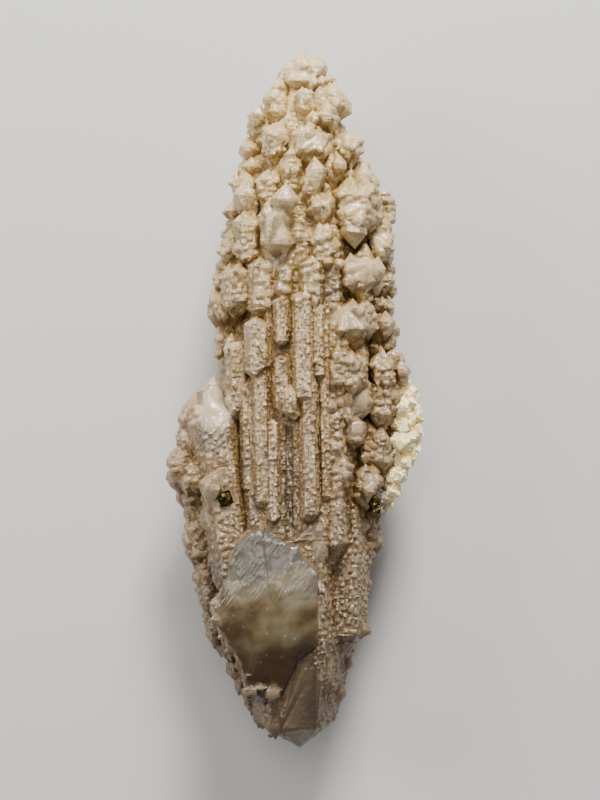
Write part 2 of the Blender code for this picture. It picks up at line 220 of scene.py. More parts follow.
def blocky_grain(pick):
    """A squat block of radius 1 with a corner or two cut away, turned at random."""
    bm = bmesh.new()
    bmesh.ops.create_cube(bm, size=1.3)
    for cut in range(3):
        normal = Vector([pick.choice((-1, 1)) * pick.uniform(0.5, 1) for axis in range(3)]).normalized()
        bmesh.ops.bisect_plane(
            bm,
            geom=bm.verts[:] + bm.edges[:] + bm.faces[:],
            dist=1e-6,
            plane_co=normal * pick.uniform(0.6, 0.85),
            plane_no=normal,
            clear_outer=True,
        )
        bmesh.ops.holes_fill(bm, edges=[edge for edge in bm.edges if edge.is_boundary], sides=0)
    turn = [pick.uniform(0, math.tau) for axis in "XYZ"]
    for axis, angle in zip("XYZ", turn):
        bm.transform(Matrix.Rotation(angle, 4, axis))
    return grain_mesh(bm)


shape_pick = random.Random(SEED)
crystals = [small_crystal(shape_pick, shape_pick.uniform(0.3, 1.0)) for each in range(40)]
blocks = [blocky_grain(shape_pick) for each in range(30)]
print("triangles of a crystal and of a block:", len(crystals[0][1]), len(blocks[0][1]))

# %% [markdown]
# ## Where the coat grows
#
# The coat isn't even. It is coarse on the edges and the pale end, where the points stand well clear,
# and fine on the long rods of the front. The smooth window, the plate below it and a few large faces
# have none. Painted masks could say so, but short lists of places in millimetres are easier to read
# and to change. The window is given by its outline, the same as in the part.

# %% Outline of the window
WINDOW = (
    (-8.3, -20.3),
    (-6.7, -18.4),
    (-4.9, -18.0),
    (-3.9, -19.0),
    (-1.0, -20.1),
    (0.4, -20.3),
    (1.1, -22.0),
    (3.0, -23.9),
    (3.1, -28.9),
    (3.0, -34.6),
    (0.4, -36.7),
    (-1.9, -41.7),
    (-4.1, -42.7),
    (-7.1, -42.0),
    (-7.3, -39.1),
    (-8.6, -36.0),
    (-9.9, -34.6),
    (-11.4, -31.4),
    (-11.9, -29.3),
    (-10.7, -27.4),
    (-9.7, -25.3),
    (-9.6, -23.1),
)
WINDOW_MIDDLE = (-3.4, -28.5)


def inside_window(x, y):
    """Whether points, in millimetres, are within the window's outline. x and y may be arrays."""
    found = np.zeros(np.shape(x), bool)
    for (x1, y1), (x2, y2) in zip(WINDOW, WINDOW[1:] + WINDOW[:1]):
        crosses = (y1 > y) != (y2 > y)
        found ^= crosses & (x < (x2 - x1) * (y - y1) / (y2 - y1) + x1)
    return found


print("the window spans %.1f by %.1f mm" % tuple(np.ptp(WINDOW, axis=0)))

# %% Bare places
# Large smooth faces that stand out of the coat: x, y, half width, half height in mm
SMOOTH_FACES = (
    (1.6, 35.7, 3.2, 0.9),  # white ledge under the crown
    (8.1, 26.3, 2.0, 1.1),  # end faces of the big crystals along the right ridge
    (11.9, 22.3, 1.5, 1.5),
    (9.6, 18.1, 2.0, 2.0),
    (7.0, 11.0, 2.7, 1.4),
    (8.9, -0.4, 1.4, 2.4),
    (8.0, -4.6, 1.2, 1.4),
    (10.4, -11.4, 0.8, 1.1),
    (-2.7, 23.4, 2.0, 4.4),  # the single crystal in the middle
    (-11.5, -1.8, 2.6, 3.2),  # end face of the second crystal
    (-15.3, -4.0, 1.4, 2.6),  # its left prism face
    (3.2, -20.3, 0.8, 2.8),  # ridge beside the window
)

# Pyrite grains: x, y and the distance in mm within which no quartz covers them
PYRITE_SPOTS = ((-9.9, -14.1, 1.9), (10.7, -14.4, 1.6), (11.4, -15.9, 1.4))

TIP_START = 48  # above this y nothing grows, so that the tip stays sharp
RIM = 1.02  # the coat keeps off the window enlarged by this


def bare(x, y, up, reach=0.0):
    """Whether nothing that reaches that far, in mm, grows at a spot. Up is how far the skin there
    faces up, from -1 to 1."""
    near_x, near_y = (at + (value - at) / RIM for at, value in zip(WINDOW_MIDDLE, (x, y)))
    on_plate = y < -38 and -1.5 < x < 3.4
    if up > 0.2 and (inside_window(near_x, near_y) or on_plate) or y > TIP_START:
        return True
    if up > -0.3 and any(
        math.hypot(x - at_x, y - at_y) < free + reach for at_x, at_y, free in PYRITE_SPOTS
    ):
        return True
    return up > 0.2 and any(
        math.hypot((x - at_x) / (wide + reach), (y - at_y) / (high + reach)) < 1
        for at_x, at_y, wide, high in SMOOTH_FACES
    )


def on_rods(x, y, z):
    """Whether a spot is on the long rods of the front, or the finely stepped faces beside them."""
    return z > 13.5 and ((-26 < y < 13 and -9.5 < x < 4.8) or (x > 2.5 and y < -15))


print("bare in the window and on a shoulder:", bool(bare(*WINDOW_MIDDLE, 1)), bool(bare(-8, 30, 1)))


# %% Sizes of the grains
def medium_size(spot, normal, pick):
    """Radius in mm, length to radius and sunken share of a medium crystal, or None for no crystal."""
    x, y, z = spot
    if bare(x, y, normal[2], reach=0.9) or z < 5 or y < -34 or y > 40:
        return None
    # The rods and the window have none, nor has the face of the second crystal
    if z > 13 and (-9.5 < x < 5.5 and y < 20 or y < -13) or (x < -8.5 and -8 < y < 7):
        return None
    return pick.uniform(0.9, 1.7), pick.uniform(0.9, 1.4), 0.8


def small_size(spot, normal, pick):
    """The same for a small crystal."""
    x, y, z = spot
    up = normal[2]
    if bare(x, y, up) or on_rods(x, y, z):
        return None
    if y < -44:  # lower tip
        return pick.uniform(0.4, 0.7), pick.uniform(0.7, 1.0), 0.8
    if z < 8.5 or up < -0.3:  # sides and back
        return pick.uniform(1.1, 1.9 if y > -20 else 1.4), pick.uniform(0.7, 1.2), 0.72
    if y > 37:  # crown
        return pick.uniform(0.6, 1.1), pick.uniform(0.7, 1.2), 0.84
    if y < -36:  # lower end
        return pick.uniform(0.35, 0.7), pick.uniform(0.7, 1.2), 0.76
    if x < -9 and y < 0:  # second crystal
        return pick.uniform(0.35, 0.55 if y > -8 else 1.0), pick.uniform(0.7, 1.2), 0.66
    return pick.uniform(0.4, 1.05), pick.uniform(0.7, 1.2), 0.66


def scale_size(spot, normal, pick):
    """The same for a scale of the rods."""
    x, y, z = spot
    if bare(x, y, normal[2]) or not on_rods(x, y, z) or normal[2] < 0.1:
        return None
    if x > 2.5 and y < -15:  # right of the window
        return pick.uniform(0.35, 0.6), pick.uniform(0.7, 1.0), 0.5
    return pick.uniform(0.28, 0.5), pick.uniform(0.6, 0.9), 0.58


shoulder = small_size((-8, 30, 14), (0, 0, 1), random.Random(SEED))
print("a small crystal on a shoulder:", [round(value, 2) for value in shoulder])

# %% [markdown]
# ## Growing the crystals
#
# The grains could simply lie in the solid, each with its own closed skin, but a clear material would
# show those inner skins. So they are joined to the solid by Boolean unions, and the quartz stays one
# closed skin. A union is quick and safe only where the grains of one mesh don't touch each other, so
# they are dealt into layers. Medium crystals are joined first, so that small ones grow on them too.


# %% Plain body
def closed_copy(name, solid):
    """A copy of a solid's mesh with its split corners joined again, so that it is closed."""
    bm = bmesh.new()
    bm.from_mesh(solid.data)
    bmesh.ops.remove_doubles(bm, verts=bm.verts[:], dist=1e-7)
    for face in bm.faces:
        face.smooth = False
    mesh = bpy.data.meshes.new(name)
    bm.to_mesh(mesh)
    bm.free()
    piece = bpy.data.objects.new(name, mesh)
    bpy.context.scene.collection.objects.link(piece)
    return piece


quartz = closed_copy("quartz_surface", frame["nodes"]["quartz_crystal"])
print("corners of the plain body:", len(quartz.data.vertices))


# %% Spots on its skin
def surface_spots(source, count, seed):
    """Seeded points spread evenly over a mesh, in millimetres, with the normal at each."""
    source.data.calc_loop_triangles()
    corners = np.array(
        [[source.data.vertices[i].co[:] for i in tri.vertices] for tri in source.data.loop_triangles]
    )
    corners = corners / MM
    across = np.cross(corners[:, 1] - corners[:, 0], corners[:, 2] - corners[:, 0])
    area = np.linalg.norm(across, axis=1) / 2
    chooser = np.random.default_rng(seed)
    chosen = chooser.choice(len(area), count, p=area / area.sum())
    u, v = chooser.random((2, count))
    over = u + v > 1
    u[over], v[over] = 1 - u[over], 1 - v[over]
    a, b, c = corners[chosen, 0], corners[chosen, 1], corners[chosen, 2]
    spots = a + (b - a) * u[:, None] + (c - a) * v[:, None]
    normals = across[chosen] / (2 * area[chosen, None])
    print("skin of %s: %.0f square mm" % (source.name, area.sum()))
    return spots.tolist(), normals.tolist()


spots, normals = surface_spots(quartz, 20000, SEED)


# %% Medium crystals
BOARD_GAP = 0.9  # mm that stay free between a grain and the board
SPREAD_CELL = 2.6  # mm, no two grains keep apart by more than that


def near_boxes(grid, spot, cell):
    """What a grid of boxes holds around a spot."""
    i, j, k = (int(math.floor(value / cell)) for value in spot)
    return [
        entry
        for box in ((i + a, j + b, k + c) for a in (-1, 0, 1) for b in (-1, 0, 1) for c in (-1, 0, 1))
        for entry in grid.get(box, ())
    ]


def spread(spots, normals, size_at, closeness, pick):
    """Keeps spots that are far enough apart for the size of their grains, and clear of the board."""
    grid, kept = {}, []
    for spot, normal in zip(spots, normals):
        size = size_at(spot, normal, pick)
        if size is None or spot[2] < BOARD_GAP + size[0]:
            continue
        radius, length, sunken = size
        if any(
            math.dist(spot, other) < closeness * (radius + reach)
            for other, reach in near_boxes(grid, spot, SPREAD_CELL)
        ):
            continue
        box = tuple(int(math.floor(value / SPREAD_CELL)) for value in spot)
        grid.setdefault(box, []).append((spot, radius))
        centre = [value - across * radius * sunken for value, across in zip(spot, normal)]
        kept.append((centre, radius, length))
    return kept


coat_pick = random.Random(SEED + 1)
medium = spread(spots, normals, medium_size, closeness=0.85, pick=coat_pick)
print("medium crystals:", len(medium))

# %% Crown
# Large crystals at the pale end: x, y, radius in mm, length to radius
CROWN = ((0.7, 46.5, 1.5, 1.5), (3.2, 44.4, 1.3, 1.3), (5.2, 42.4, 1.4, 1.2), (-2.3, 43.4, 1.3, 1.3))


def height_at(skin, x, y):
    """Height in mm of a mesh's upper side at x, y."""
    return skin.ray_cast(Vector((x, y, 100)) * MM, Vector((0, 0, -1)))[0].z / MM


skin = BVHTree.FromObject(quartz, bpy.context.evaluated_depsgraph_get())
for x, y, radius, length in CROWN:
    medium.append(([x, y, height_at(skin, x, y) - 0.6 * radius], radius, length))
print("crystals with those of the crown:", len(medium))


# %% Layers of grains
SIDE_REACH, END_REACH = 1.15, 1.75  # of a grain from its middle, in radii
GRAIN_GAP = 0.02  # mm between grains of a layer
LAYER_CELL = 6.0  # mm, enough for the two largest grains side by side


def deal(kept):
    """Deals grains into layers, so that none in a layer touches another."""
    grid, layers = {}, []
    for index, (centre, radius, length) in enumerate(kept):
        bound = radius * max(SIDE_REACH, length * END_REACH)
        taken = {
            layer
            for other, reach, layer in near_boxes(grid, centre, LAYER_CELL)
            if math.dist(centre, other) < bound + reach + GRAIN_GAP
        }
        layer = next(number for number in range(len(taken) + 1) if number not in taken)
        box = tuple(int(math.floor(value / LAYER_CELL)) for value in centre)
        grid.setdefault(box, []).append((centre, bound, layer))
        while len(layers) <= layer:
            layers.append([])
        layers[layer].append(index)
    return layers


def joined_grains(name, placed):
    """One mesh of grains, each given as its points in millimetres and its triangles."""
    points, triangles, count = [], [], 0
    for grain_points, grain_triangles in placed:
        points.append(grain_points * MM)
        triangles.append(grain_triangles + count)
        count += len(grain_points)
    mesh = bpy.data.meshes.new(name)
    mesh.from_pydata(np.concatenate(points).tolist(), [], np.concatenate(triangles).tolist())
    return mesh


def layer_meshes(kept, shapes, pick, sway):
    """One mesh of the grains of each layer. Sway is how far they lean, in degrees."""
    meshes = []
    for number, members in enumerate(deal(kept)):
        placed = []
        for centre, radius, length in (kept[index] for index in members):
            points, triangles = shapes[pick.randrange(len(shapes))]
            turn = Matrix.Rotation(math.radians(pick.gauss(0, sway)), 3, "Z")
            turn = turn @ Matrix.Rotation(math.radians(pick.gauss(0, sway)), 3, "X")
            placed.append((points * (1, length, 1) @ np.array(turn).T * radius + centre, triangles))
        meshes.append(joined_grains("layer_%d" % number, placed))
    return meshes


print("layers of medium crystals:", len(deal(medium)))

# %% [markdown]
# ## The window
#
# The window is a low dome with a broken outline. The part has it in flat facets; here it is a finer
# mesh just over them, so that it shines as one smooth swelling. A smoothed copy of the facets would
# do too, but rings drawn from the outline keep the broken rim sharp.

# %% Dome of the window
DOME_HEIGHT = 2.2  # mm over the front, in the middle
DOME_FALL = 1.25  # mm from the middle to the rim
FRONT_HEIGHT = 18.7  # mm, height of the front as far down as FRONT_BEND
FRONT_BEND = -33.0
FRONT_SLOPE = 0.27  # of the front below it


def lower_front(y):
    """Height of the lower end's front at y, which falls away towards the tip."""
    return min(FRONT_HEIGHT, FRONT_HEIGHT + (y - FRONT_BEND) * FRONT_SLOPE)


def window_rim(pick):
    """The outline with four points to a side, broken into small steps."""
    rim = []
    for (x1, y1), (x2, y2) in zip(WINDOW, WINDOW[1:] + WINDOW[:1]):
        for share in (0, 0.25, 0.5, 0.75):
            jitter = Vector((pick.uniform(-0.14, 0.14), pick.uniform(-0.14, 0.14)))
            rim.append(Vector((x1 + (x2 - x1) * share, y1 + (y2 - y1) * share)) + jitter)
    return rim


def window_dome(pick):
    """A closed cap over the window, built from rings: a sunken foot, a wall and the dome."""
    middle = Vector(WINDOW_MIDDLE)
    rim = window_rim(pick)
    # Each ring is a share of the outline and a height over the front in mm, or None for the dome's own
    rings = [(1.0, -2.5)] + [(1.02 - 0.02 * k, -0.5 + 0.45 * k) for k in range(4)]
    rings += [(0.95 * (1 - k / 18), None) for k in range(18)]
    bm = bmesh.new()
    loops = []
    for share, rise in rings:
        loop = []
        for edge in rim:
            spot = middle + (edge - middle) * share
            level = sum(lower_front(spot.y + step) for step in (-2, -1, 0, 1, 2)) / 5
            height = DOME_HEIGHT - DOME_FALL * share**2 if rise is None else rise
            loop.append(bm.verts.new((spot.x * MM, spot.y * MM, (level + height) * MM)))
        loops.append(loop)
    for lower, upper in zip(loops, loops[1:]):
        for i, corner in enumerate(lower):
            after = (i + 1) % len(lower)
            face = bm.faces.new((corner, lower[after], upper[after], upper[i]))
            face.smooth = True
    top_height = lower_front(middle.y) + DOME_HEIGHT
    top = bm.verts.new((middle.x * MM, middle.y * MM, top_height * MM))
    for i, corner in enumerate(loops[-1]):
        bm.faces.new((corner, loops[-1][(i + 1) % len(loops[-1])], top)).smooth = True
    bm.faces.new(loops[0])
    bmesh.ops.triangulate(bm, faces=bm.faces[:])
    bmesh.ops.recalc_face_normals(bm, faces=bm.faces[:])
    mesh = bpy.data.meshes.new("window_dome")
    bm.to_mesh(mesh)
    bm.free()
    return mesh


dome = window_dome(coat_pick)
print("triangles of the dome:", len(dome.polygons))


# %% Join the medium crystals
def grow(piece, meshes):
    """Joins meshes to a piece, one after the other, and keeps the result as its mesh."""
    helpers = []
    for mesh in meshes:
        helper = bpy.data.objects.new(mesh.name, mesh)
        bpy.context.scene.collection.objects.link(helper)
        helpers.append(helper)
        step = piece.modifiers.new(mesh.name, "BOOLEAN")
        step.operation = "UNION"
        step.solver = "MANIFOLD"
        step.object = helper
    graph = bpy.context.evaluated_depsgraph_get()
    result = bpy.data.meshes.new_from_object(piece.evaluated_get(graph))
    piece.modifiers.clear()
    for helper in helpers:
        bpy.data.objects.remove(helper)
    result.materials.clear()
    piece.data = result
    result.calc_loop_triangles()
    print("%s: %d triangles" % (piece.name, len(result.loop_triangles)))


grow(quartz, [dome] + layer_meshes(medium, crystals, coat_pick, sway=4))

# %% Small crystals and scales
spots, normals = surface_spots(quartz, 90000, SEED)
small = spread(spots, normals, small_size, closeness=0.7, pick=coat_pick)
scales = spread(spots, normals, scale_size, closeness=0.78, pick=coat_pick)
layers = layer_meshes(small, crystals, coat_pick, sway=5)
layers += layer_meshes(scales, blocks, coat_pick, sway=9)
print("small crystals:", len(small), "and scales:", len(scales), "in", len(layers), "layers")

# %% [markdown]
# Some low pale crystals are so plain to see that each has its own place: two plates at the foot of the
# window, one on the tip and one to the right of it, the ridge beside the window, and the glassy beads
# on its left rim. They are flattened crystals, laid on the skin as it is now.

# %% Plates, ridge and beads
# x, y, radius, length to radius
PLATES = (
    (-6.3, -40.9, 1.25, 0.55),  # plates
    (-4.9, -40.4, 0.9, 0.5),
    (-3.2, -41.2, 1.35, 0.75),
    (-3.2, -46.2, 1.1, 1.2),
    (4.2, -39.2, 1.0, 2.4),
    (3.1, -18.6, 0.75, 1.7),  # ridge
    (3.6, -21.5, 0.8, 1.6),
    (3.4, -24.6, 0.5, 2.2),
    (-11.3, -28.6, 0.7, 0.9),  # beads
    (-11.2, -30.9, 0.75, 1.1),
    (-10.2, -33.2, 0.7, 1.2),
    (-9.2, -35.2, 0.75, 1.0),
    (-8.0, -37.4, 0.6, 1.3),
)
PLATE_LOWNESS = 0.42  # height of these crystals, to that of the others


def plate_mesh(pick, skin):
    """The plates as very low crystals, tilted with the front."""
    slope = np.array(Matrix.Rotation(math.atan(FRONT_SLOPE), 3, "X"))
    placed = []
    for x, y, radius, length in PLATES:
        points, triangles = crystals[pick.randrange(len(crystals))]
        centre = (x, y, height_at(skin, x, y) + 0.1)
        low = points * (1, length, PLATE_LOWNESS)
        placed.append((low @ slope.T * radius + centre, triangles))
    return joined_grains("plates", placed)


skin = BVHTree.FromObject(quartz, bpy.context.evaluated_depsgraph_get())
plates = plate_mesh(coat_pick, skin)
print("plates, ridge and beads:", len(PLATES), "crystals,", len(plates.polygons), "triangles")

# %% Join the coat and shade its faces
# Faces are flat where crystals are crisp. Elsewhere only their sharp edges stay sharp, as if etched.
grow(quartz, [plates] + layers)
bm = bmesh.new()
bm.from_mesh(quartz.data)
for face in bm.faces:
    x, y, z = face.calc_center_median() / MM
    crisp = z > 12 and (bare(x, y, 1) or x > 4.5 and y < 32) or on_rods(x, y, z)
    face.smooth = bool(not crisp or inside_window(x, y))
print("edges without two faces:", sum(len(edge.link_faces) != 2 for edge in bm.edges))
bm.to_mesh(quartz.data)
bm.free()
quartz.data.set_sharp_from_angle(angle=math.radians(34))
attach(quartz, "root")
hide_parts("quartz_crystal")

# %% [markdown]
# ## The crust and the grains of pyrite
#
# The crust is feldspar: a heap of cream-white blocks, each under a millimetre, with pits between them.
# The pyrite grains are cubes grown through each other. Displacing a fine mesh would round them off, so
# both are made as the coat was, from small blocks joined to their solids.


# %% Crust
def crust_size(spot, normal, pick):
    """Radius in millimetres, length to radius and sunken share of a block of the crust."""
    return pick.choice((0.25, 0.4, 0.8)) * pick.uniform(0.9, 1.2), 1.0, pick.uniform(0.1, 0.45)


crust_pick = random.Random(SEED + 2)
crust_solid = frame["nodes"]["feldspar_crust"]
spots, normals = surface_spots(crust_solid, 12000, SEED + 2)
crust_grains = spread(spots, normals, crust_size, closeness=0.6, pick=crust_pick)
crust = closed_copy("crust_surface", crust_solid)
grow(crust, layer_meshes(crust_grains, blocks, crust_pick, sway=0))
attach(crust, "root")
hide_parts("feldspar_crust")


# %% Pyrite
PYRITE_NODES = ("pyrite_grain_left", "pyrite_grain_right_upper", "pyrite_grain_right_lower")


def pyrite_size(spot, normal, pick):
    """Radius in millimetres, length to radius and sunken share of a small pyrite cube."""
    return pick.uniform(0.22, 0.42), pick.uniform(0.9, 1.1), 0.3


cube_mesh = bmesh.new()
bmesh.ops.create_cube(cube_mesh, size=1.5)
cubes = [grain_mesh(cube_mesh)]
pyrite_pieces = []
for number, node in enumerate(PYRITE_NODES):
    pyrite_pick = random.Random(SEED + 3 + number)
    spots, normals = surface_spots(frame["nodes"][node], 400, SEED + 3 + number)
    grains = spread(spots, normals, pyrite_size, closeness=0.8, pick=pyrite_pick)
    piece = closed_copy(node + "_cubes", frame["nodes"][node])
    grow(piece, layer_meshes(grains, cubes, pyrite_pick, sway=25))
    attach(piece, "root")
    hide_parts(node)
    pyrite_pieces.append(piece)

# %% [markdown]
# ## Values that the materials read
#
# Hollows are darkened as painted shade, and tips are whitened as a painted highlight. A renderer can
# measure hollows while it draws, but that doesn't survive an export. So rays are shot out of each corner
# of the mesh once, and the share that meets nothing is kept there, from 0 deep in a hollow to 1 on a
# tip. Other values say where faces are whitened by milky frost and painted highlight, where stain and
# painted shade are strong, and where the window is.

# %% How open each corner lies
GOLDEN_ANGLE = math.pi * (3 - math.sqrt(5))  # spreads rays evenly round the normal


def vertex_array(mesh, what):
    """Coordinates or normals of a mesh's corners as an array."""
    values = np.empty(len(mesh.vertices) * 3)
    mesh.vertices.foreach_get(what, values)
    return values.reshape(-1, 3)


def keep_value(mesh, name, values):
    """Stores a value for each corner, which materials read by its name."""
    attribute = mesh.attributes.new(name, "FLOAT", "POINT")
    attribute.data.foreach_set("value", np.asarray(values, np.float32))


def openness(piece, reach, rays=12):
    """Share of the directions out of each corner in which nothing is near."""
    mesh = piece.data
    points, normals = vertex_array(mesh, "co"), vertex_array(mesh, "normal")
    mesh.calc_loop_triangles()
    tree = BVHTree.FromPolygons(points.tolist(), [tri.vertices[:] for tri in mesh.loop_triangles])
    fan = []
    for number in range(rays):
        height = 1 - (number + 0.5) / rays
        around = number * GOLDEN_ANGLE
        fan.append(Vector((math.cos(around), math.sin(around), 0)) * math.sqrt(1 - height**2))
        fan[-1].z = height
    seen = np.zeros(len(points))
    for index, (point, normal) in enumerate(zip(points.tolist(), normals.tolist())):
        normal = Vector(normal)
        turn = Vector((0, 0, 1)).rotation_difference(normal)
        start = Vector(point) + normal * 0.03 * MM  # just off the skin
        seen[index] = sum(tree.ray_cast(start, turn @ ray, reach)[0] is None for ray in fan) / rays
    ends = np.empty(len(mesh.edges) * 2, int)
    mesh.edges.foreach_get("vertices", ends)
    ends = ends.reshape(-1, 2)
    total, count = seen.copy(), np.ones(len(points))
    for one, other in ((0, 1), (1, 0)):
        np.add.at(total, ends[:, one], seen[ends[:, other]])
        np.add.at(count, ends[:, one], 1)
    return total / count


quartz_open = openness(quartz, 3.0 * MM)
keep_value(quartz.data, "open", quartz_open)
crust_open = openness(crust, 1.5 * MM)
keep_value(crust.data, "open", crust_open)
print("openness of the quartz:", np.percentile(quartz_open, [5, 25, 50, 75, 95]).round(2))

# %% Pale faces with painted highlight, and stain with painted shade
# x, y, half width, half height in mm, strength. The material breaks up their borders with noise.
# Pale patches: real milky frost on some faces, painted highlight on the large faces and edges that meet
# the light
MILKY_AND_LIT = tuple((*face, 0.6) for face in SMOOTH_FACES) + (
    (-11.5, -1.6, 2.4, 2.8, 1.4),  # end face of the second crystal, the palest of all
    (3.2, -20.3, 0.9, 2.9, 0.9),  # white ridge beside the window
    (3.5, -29.0, 0.6, 5.5, 0.6),
    (4.2, -39.2, 1.0, 2.8, 0.9),  # pale plates of the lower end
    (-6.0, -40.8, 1.7, 1.2, 0.9),
    (-3.2, -41.2, 1.4, 1.5, 0.9),
    (-3.2, -46.3, 1.0, 1.8, 0.6),
    (7.0, -35.6, 0.7, 0.7, 0.8),
    (9.2, -22.6, 1.0, 0.7, 0.8),
    (-3.6, -11.7, 0.5, 5.7, 0.7),  # painted highlight on the edge beside the slot
    (-1.2, 0.4, 1.1, 1.6, 0.5),  # heads of the two rods
    (1.5, 1.7, 1.1, 1.6, 0.5),
    (-5.7, 9.2, 1.5, 1.6, 0.5),
)
# Golden patches, partly stain and partly painted shade, in clefts, hollows and under faces
STAIN_AND_SHADE_PATCHES = (
    (-11.5, -5.6, 2.6, 1.8, 0.9),  # under the end face of the second crystal
    (-10.9, -24.7, 1.2, 3.0, 0.9),
    (-8.6, -3.0, 0.8, 3.0, 0.7),  # cleft between the two crystals
    (-7.4, -9.0, 0.8, 3.6, 0.7),
    (-6.2, -15.0, 0.8, 3.2, 0.7),
    (5.1, 15.4, 1.3, 2.3, 0.9),  # hollows of the front
    (9.0, 21.9, 1.0, 1.0, 0.9),
    (-2.3, 18.3, 1.4, 1.5, 0.8),
    (-1.7, 6.7, 0.9, 0.7, 0.8),
    (-1.0, -12.0, 1.1, 8.2, 0.8),  # slot
    (2.3, 43.3, 2.4, 2.2, 0.5),  # inside of the crown
    (12.2, -14.5, 1.2, 2.2, 0.9),  # contact with the crust
)
LOWER_PLATE = (-0.5, -42.0, 5.0, 6.5, 0.7)


def marked(points, marks):
    """How strongly each point is within the listed patches, from 0 to 1."""
    value = np.zeros(len(points))
    for x, y, wide, high, strength in marks:
        away = np.hypot((points[:, 0] - x) / wide, (points[:, 1] - y) / high)
        value = np.maximum(value, strength * np.clip(1.6 - away, 0, 1))
    return value


where = vertex_array(quartz.data, "co") / MM
front = np.clip((where[:, 2] - 10) / 3, 0, 1)  # none below 10 mm, all of it above 13 mm
keep_value(quartz.data, "milky_and_lit", marked(where, MILKY_AND_LIT) * front)
keep_value(quartz.data, "stain_and_shade", marked(where, STAIN_AND_SHADE_PATCHES) * front)
low_front = np.array([lower_front(y) for y in where[:, 1]])
in_window = inside_window(where[:, 0], where[:, 1]) & (where[:, 2] > low_front + 0.3)
plate_places = tuple((x, y, radius * 0.8, radius * length, 1.0) for x, y, radius, length in PLATES)
in_window &= marked(where, plate_places) < 0.6
keep_value(quartz.data, "window", in_window)
smooth_places = tuple((*face, 0.55) for face in SMOOTH_FACES) + (LOWER_PLATE,)
keep_value(quartz.data, "smooth", np.maximum(in_window, marked(where, smooth_places) * front))
print("corners in the window:", int(in_window.sum()))

# %% [markdown]
# ## Frosted quartz
#
# Quartz is clear, but here it is clouded by tiny voids and its faces are etched, so light scatters in
# it as in wax and comes out softened, and only the window lets the eye in. One material serves both:
# the mark of the window decides how much light passes through. The body runs from cream at the one
# end to smoky brown at the other, over a slow noise that stands for the clouds of growth.


# %% Quartz body colour
def per_metre(size):
    """How many times a pattern with features of this size in millimetres repeats in a metre."""
    return 1 / (size * MM)


frosted = new_material("frosted quartz")
place = add_node(frosted, "ShaderNodeTexCoord").outputs["Object"]
xyz = add_node(frosted, "ShaderNodeSeparateXYZ", vector=place)
# Along is 0 at the lower tip and 1 at the pale end, 100 mm away. The clouds shift it by up to 0.15.
along = add_node(
    frosted, "ShaderNodeMath", operation="MULTIPLY_ADD", _0=xyz.outputs[1], _1=per_metre(100), _2=0.5
).outputs[0]
clouds = add_node(frosted, "ShaderNodeTexNoise", vector=place, scale=per_metre(5.26), detail=3.0)
along_cloudy = add_node(
    frosted, "ShaderNodeMath", operation="MULTIPLY_ADD", _0=clouds.outputs[0], _1=0.3, _2=along
)
shifted = add_node(
    frosted, "ShaderNodeMath", operation="SUBTRACT", _0=along_cloudy.outputs[0], _1=0.15
).outputs[0]
body = add_node(
    frosted,
    "ShaderNodeValToRGB",
    _0=shifted,
    stops=(
        (0.0, "#5c432b"),
        (0.22, "#785d3b"),
        (0.42, "#927144"),
        (0.62, "#a38350"),
        (0.80, "#bb9b60"),
        (1.0, "#d3b375"),
    ),
)
print("body colour runs over", len(body.color_ramp.elements), "stops")

# %% Colour of the window
# Grey above, where its skin is cracked, and brown below, where it is clear and deep
window_colour = add_node(
    frosted,
    "ShaderNodeValToRGB",
    _0=shifted,
    stops=((0.06, "#6d4220"), (0.13, "#835e36"), (0.19, "#9a835c"), (0.23, "#a09276"), (0.28, "#6e665a")),
)
window = add_node(frosted, "ShaderNodeAttribute", attribute_name="window").outputs["Fac"]
ground = add_node(
    frosted,
    "ShaderNodeMix",
    data_type="RGBA",
    _0=window,
    _6=body.outputs[0],
    _7=window_colour.outputs[0],
)
print("window colour runs over", len(window_colour.color_ramp.elements), "stops")

# %% [markdown]
# The colour turns a darker golden brown in every hollow, which is painted shade, and in the listed
# patches, which are partly stain and partly painted shade. A fine noise added before the threshold
# frays their borders, which looks more natural than a noise laid over it.

# %% Stain and painted shade in the hollows
stain_and_shade_colour = add_node(
    frosted,
    "ShaderNodeValToRGB",
    _0=along,
    stops=((0.0, "#3a3020"), (0.45, "#57472d"), (0.75, "#806840"), (1.0, "#a28a5a")),
)
open_value = add_node(frosted, "ShaderNodeAttribute", attribute_name="open").outputs["Fac"]
# Painted shade: the less open a corner, the more of the darker colour it gets
hollow_shade = add_node(
    frosted, "ShaderNodeMapRange", value=open_value, from_min=0.45, from_max=0.05, to_min=0.0, to_max=0.6
)
stain_and_shade_value = add_node(frosted, "ShaderNodeAttribute", attribute_name="stain_and_shade").outputs["Fac"]
speckle = add_node(
    frosted, "ShaderNodeTexNoise", vector=place, scale=per_metre(1.11), detail=4.0
).outputs[0]
stain_and_shade_edge = add_node(
    frosted, "ShaderNodeMath", operation="MULTIPLY_ADD", _0=speckle, _1=0.8, _2=stain_and_shade_value
)
stain_and_shade_patch = add_node(
    frosted, "ShaderNodeMapRange", value=stain_and_shade_edge.outputs[0], from_min=0.6, from_max=1.2, to_max=0.85
)
stain_and_shade_amount = add_node(
    frosted, "ShaderNodeMath", operation="MAXIMUM", _0=hollow_shade.outputs[0], _1=stain_and_shade_patch.outputs[0]
)
stain_and_shade = add_node(
    frosted,
    "ShaderNodeMix",
    data_type="RGBA",
    _0=stain_and_shade_amount.outputs[0],
    _6=ground.outputs[2],
    _7=stain_and_shade_colour.outputs[0],
)
print("stain chain:", len(frosted.node_tree.nodes), "nodes so far")
